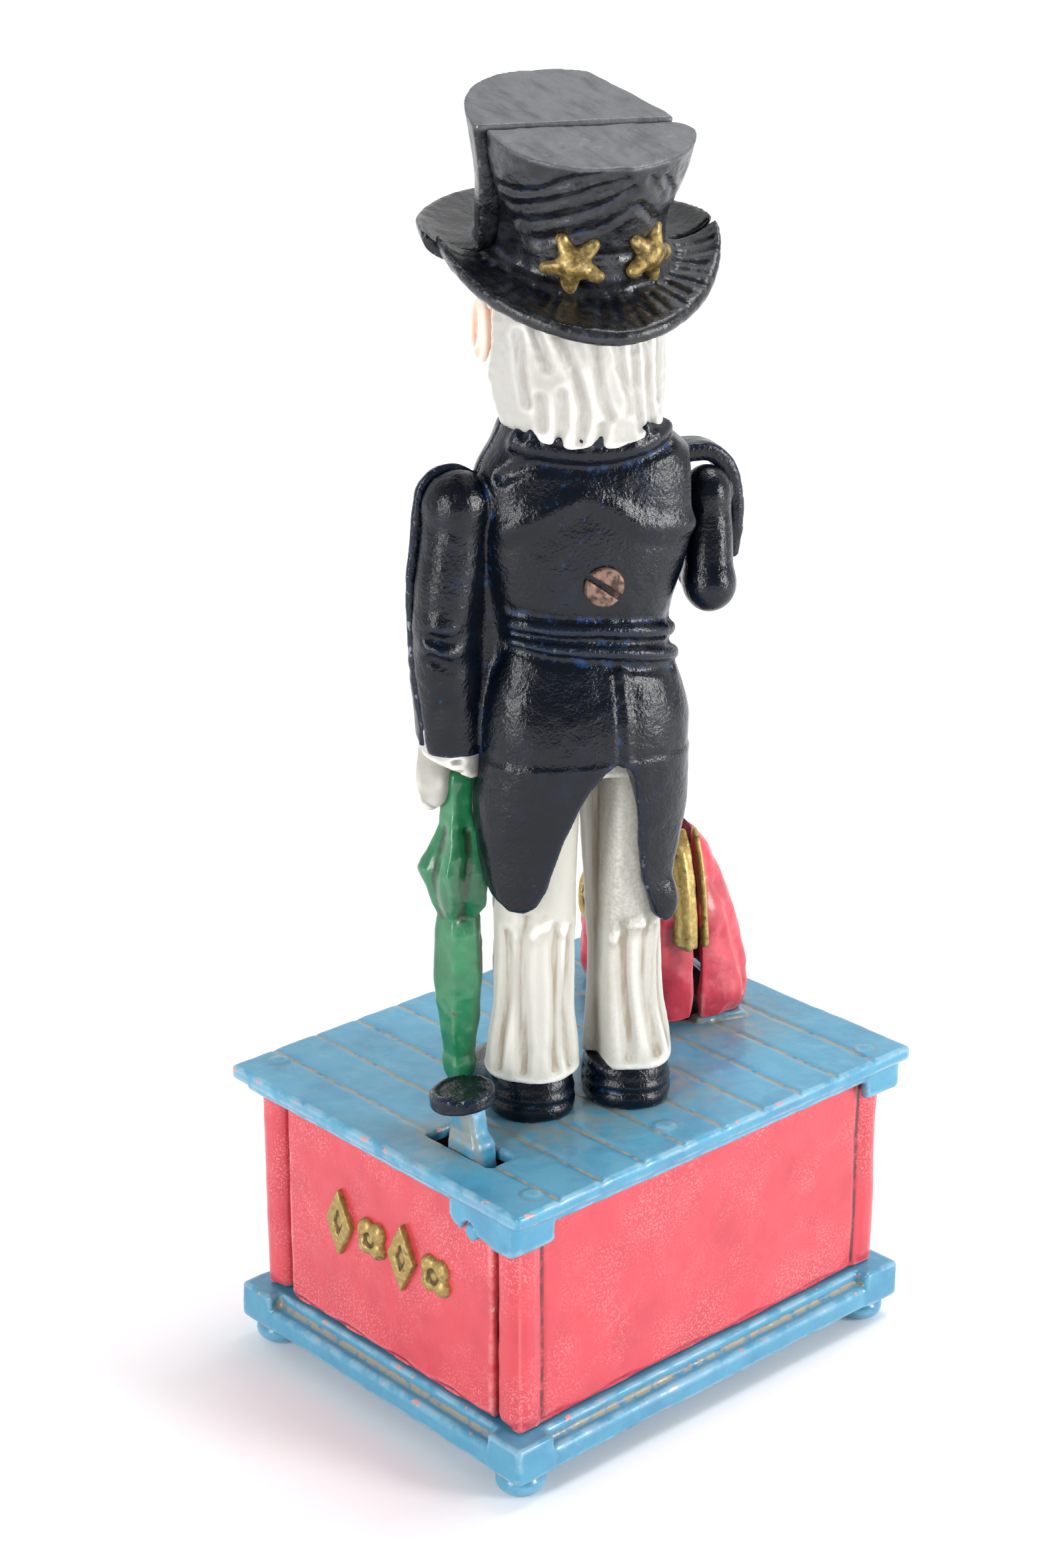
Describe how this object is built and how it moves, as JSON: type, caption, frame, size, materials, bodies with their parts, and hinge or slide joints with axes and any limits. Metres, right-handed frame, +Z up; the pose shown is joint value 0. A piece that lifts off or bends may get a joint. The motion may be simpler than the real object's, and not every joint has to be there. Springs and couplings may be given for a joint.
{
  "type": "mechanical coin bank",
  "caption": "Cast-metal mechanical coin bank: top-hatted figure with swinging arm, nodding beard, push button, opening bag and hollow base",
  "frame": {"origin": "on the floor under the middle of the deck", "axes": "+Z up, +X towards the figure's left-hand side wall with the lever, -Y to the front"},
  "size_m": [0.12, 0.096, 0.286],
  "materials": {
    "blue_enamel": "glossy chipped enamel",
    "red_enamel": "glossy worn enamel",
    "gold_paint": "dull brass-gold paint",
    "black_enamel": "glossy orange-peel enamel",
    "white_enamel": "grimy satin enamel",
    "green_enamel": "worn glossy enamel",
    "carpet_red_enamel": "mottled glossy enamel",
    "skin_enamel": "satin enamel",
    "copper_screw": "coppery brown oxide",
    "steel": "plain bright",
    "dark_iron": "bare dark casting"
  },
  "bodies": {
    "bank": {"base_plate": "blue_enamel", "front_panel": "red_enamel", "back_panel": "red_enamel", "left_side_panel": "red_enamel", "right_side_panel": "red_enamel", "top_plate": "blue_enamel", "left_side_ornaments": "gold_paint", "right_side_ornaments": "gold_paint", "front_ornament": "gold_paint", "base_screws": "copper_screw", "figure_foot_screws": "steel", "bag_screws": "steel", "trap_screw": "copper_screw", "return_spring": "steel", "figure_front": "black_enamel", "figure_back": "black_enamel", "figure_screw": "copper_screw", "beard_pin": "steel", "umbrella": "green_enamel", "bag_fixed_half": "carpet_red_enamel", "bag_fixed_frame": "gold_paint"},
    "lever": {"lever": "blue_enamel", "button": "black_enamel", "rocker_shaft": "blue_enamel", "lift_arm": "dark_iron", "jaw_arm": "dark_iron"},
    "push_rod": {"push_rod": "steel"},
    "right_arm": {"right_arm": "black_enamel", "arm_trunnion": "steel", "arm_crank": "dark_iron"},
    "beard": {"beard": "white_enamel"},
    "bag_jaw": {"bag_moving_half": "carpet_red_enamel", "bag_moving_frame": "gold_paint", "bag_medal": "gold_paint", "jaw_rod": "steel", "jaw_crank": "dark_iron", "jaw_legs": "dark_iron"},
    "trap_cover": {"trap_cover": "dark_iron"}
  },
  "joints": [
    {"name": "lever_press", "type": "hinge", "parent": "bank", "child": "lever", "pos_m": [0, 0.0315, 0.0592], "axis": [1, 0, 0], "range_deg": [0, 16], "stiffness_Nm_per_rad": 0.6, "springref_deg": -8.59, "deforming": ["return_spring"]},
    {"name": "push_rod_slide", "type": "slide", "parent": "bank", "child": "push_rod", "axis": [0, 0, -1], "range_m": [0, 0.00442]},
    {"name": "arm_swing", "type": "hinge", "parent": "bank", "child": "right_arm", "pos_m": [0.0135, 0.0153, 0.203], "axis": [0.9063, -0.4226, 0], "range_deg": [0, 46]},
    {"name": "beard_nod", "type": "hinge", "parent": "bank", "child": "beard", "pos_m": [0.00906, 0.00578, 0.2285], "axis": [-0.9063, 0.4226, 0], "range_deg": [0, 15]},
    {"name": "bag_open", "type": "hinge", "parent": "bank", "child": "bag_jaw", "pos_m": [-0.02863, -0.01529, 0.0638], "axis": [0.342, 0.9397, 0], "range_deg": [0, 13.6]},
    {"name": "trap_cover_turn", "type": "hinge", "parent": "bank", "child": "trap_cover", "pos_m": [0.015, -0.012, 0.005], "axis": [0, 0, 1], "range_deg": [-60, 60]}
  ],
  "couplings": [
    {"joint": "push_rod_slide", "follows": "lever_press", "m_per_rad": 0.015826},
    {"joint": "arm_swing", "follows": "lever_press", "ratio": 2.875},
    {"joint": "beard_nod", "follows": "lever_press", "ratio": 0.9375},
    {"joint": "bag_open", "follows": "lever_press", "ratio": 0.85}
  ]
}
